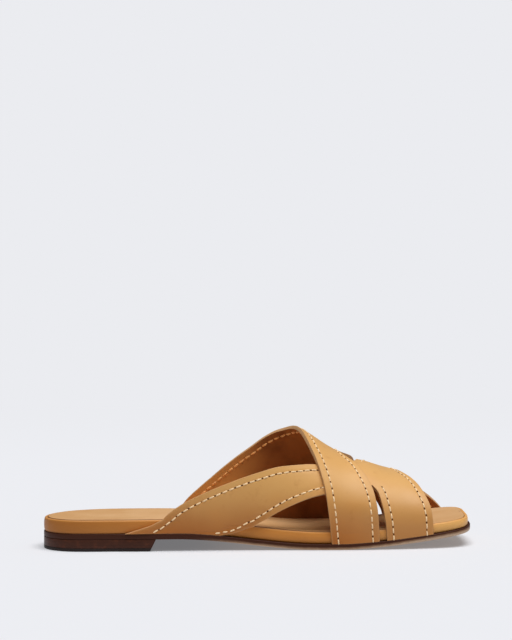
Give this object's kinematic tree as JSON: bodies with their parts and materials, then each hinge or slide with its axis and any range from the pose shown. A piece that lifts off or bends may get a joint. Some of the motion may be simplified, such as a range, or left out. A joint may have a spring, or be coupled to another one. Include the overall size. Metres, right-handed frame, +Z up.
{
  "type": "cross strap sandal",
  "caption": "Flat slide sandal with a broad strap crossed over a forked strap on a wrapped footbed with a low stacked heel.",
  "frame": {"origin": "on the floor, below the middle of the shoe's box", "axes": "+X towards the toe, +Y towards the inner side of the foot, +Z up"},
  "size_m": [0.2596, 0.0808, 0.0699],
  "materials": {
    "strap_leather": "smooth satin vegetable-tanned leather, tan",
    "footbed_leather": "smooth satin leather cover, tan",
    "sock_leather": "matt smooth lining leather, pale tan",
    "outsole_leather": "sole leather with a waxed brown edge",
    "stacked_heel": "stacked leather, polished dark brown",
    "top_piece_rubber": "matt dark rubber"
  },
  "bodies": {
    "root": {"upper": "strap_leather", "footbed": "footbed_leather", "insole_sock": "sock_leather", "outsole": "outsole_leather", "heel": "stacked_heel", "heel_top_piece": "top_piece_rubber"}
  },
  "joints": []
}
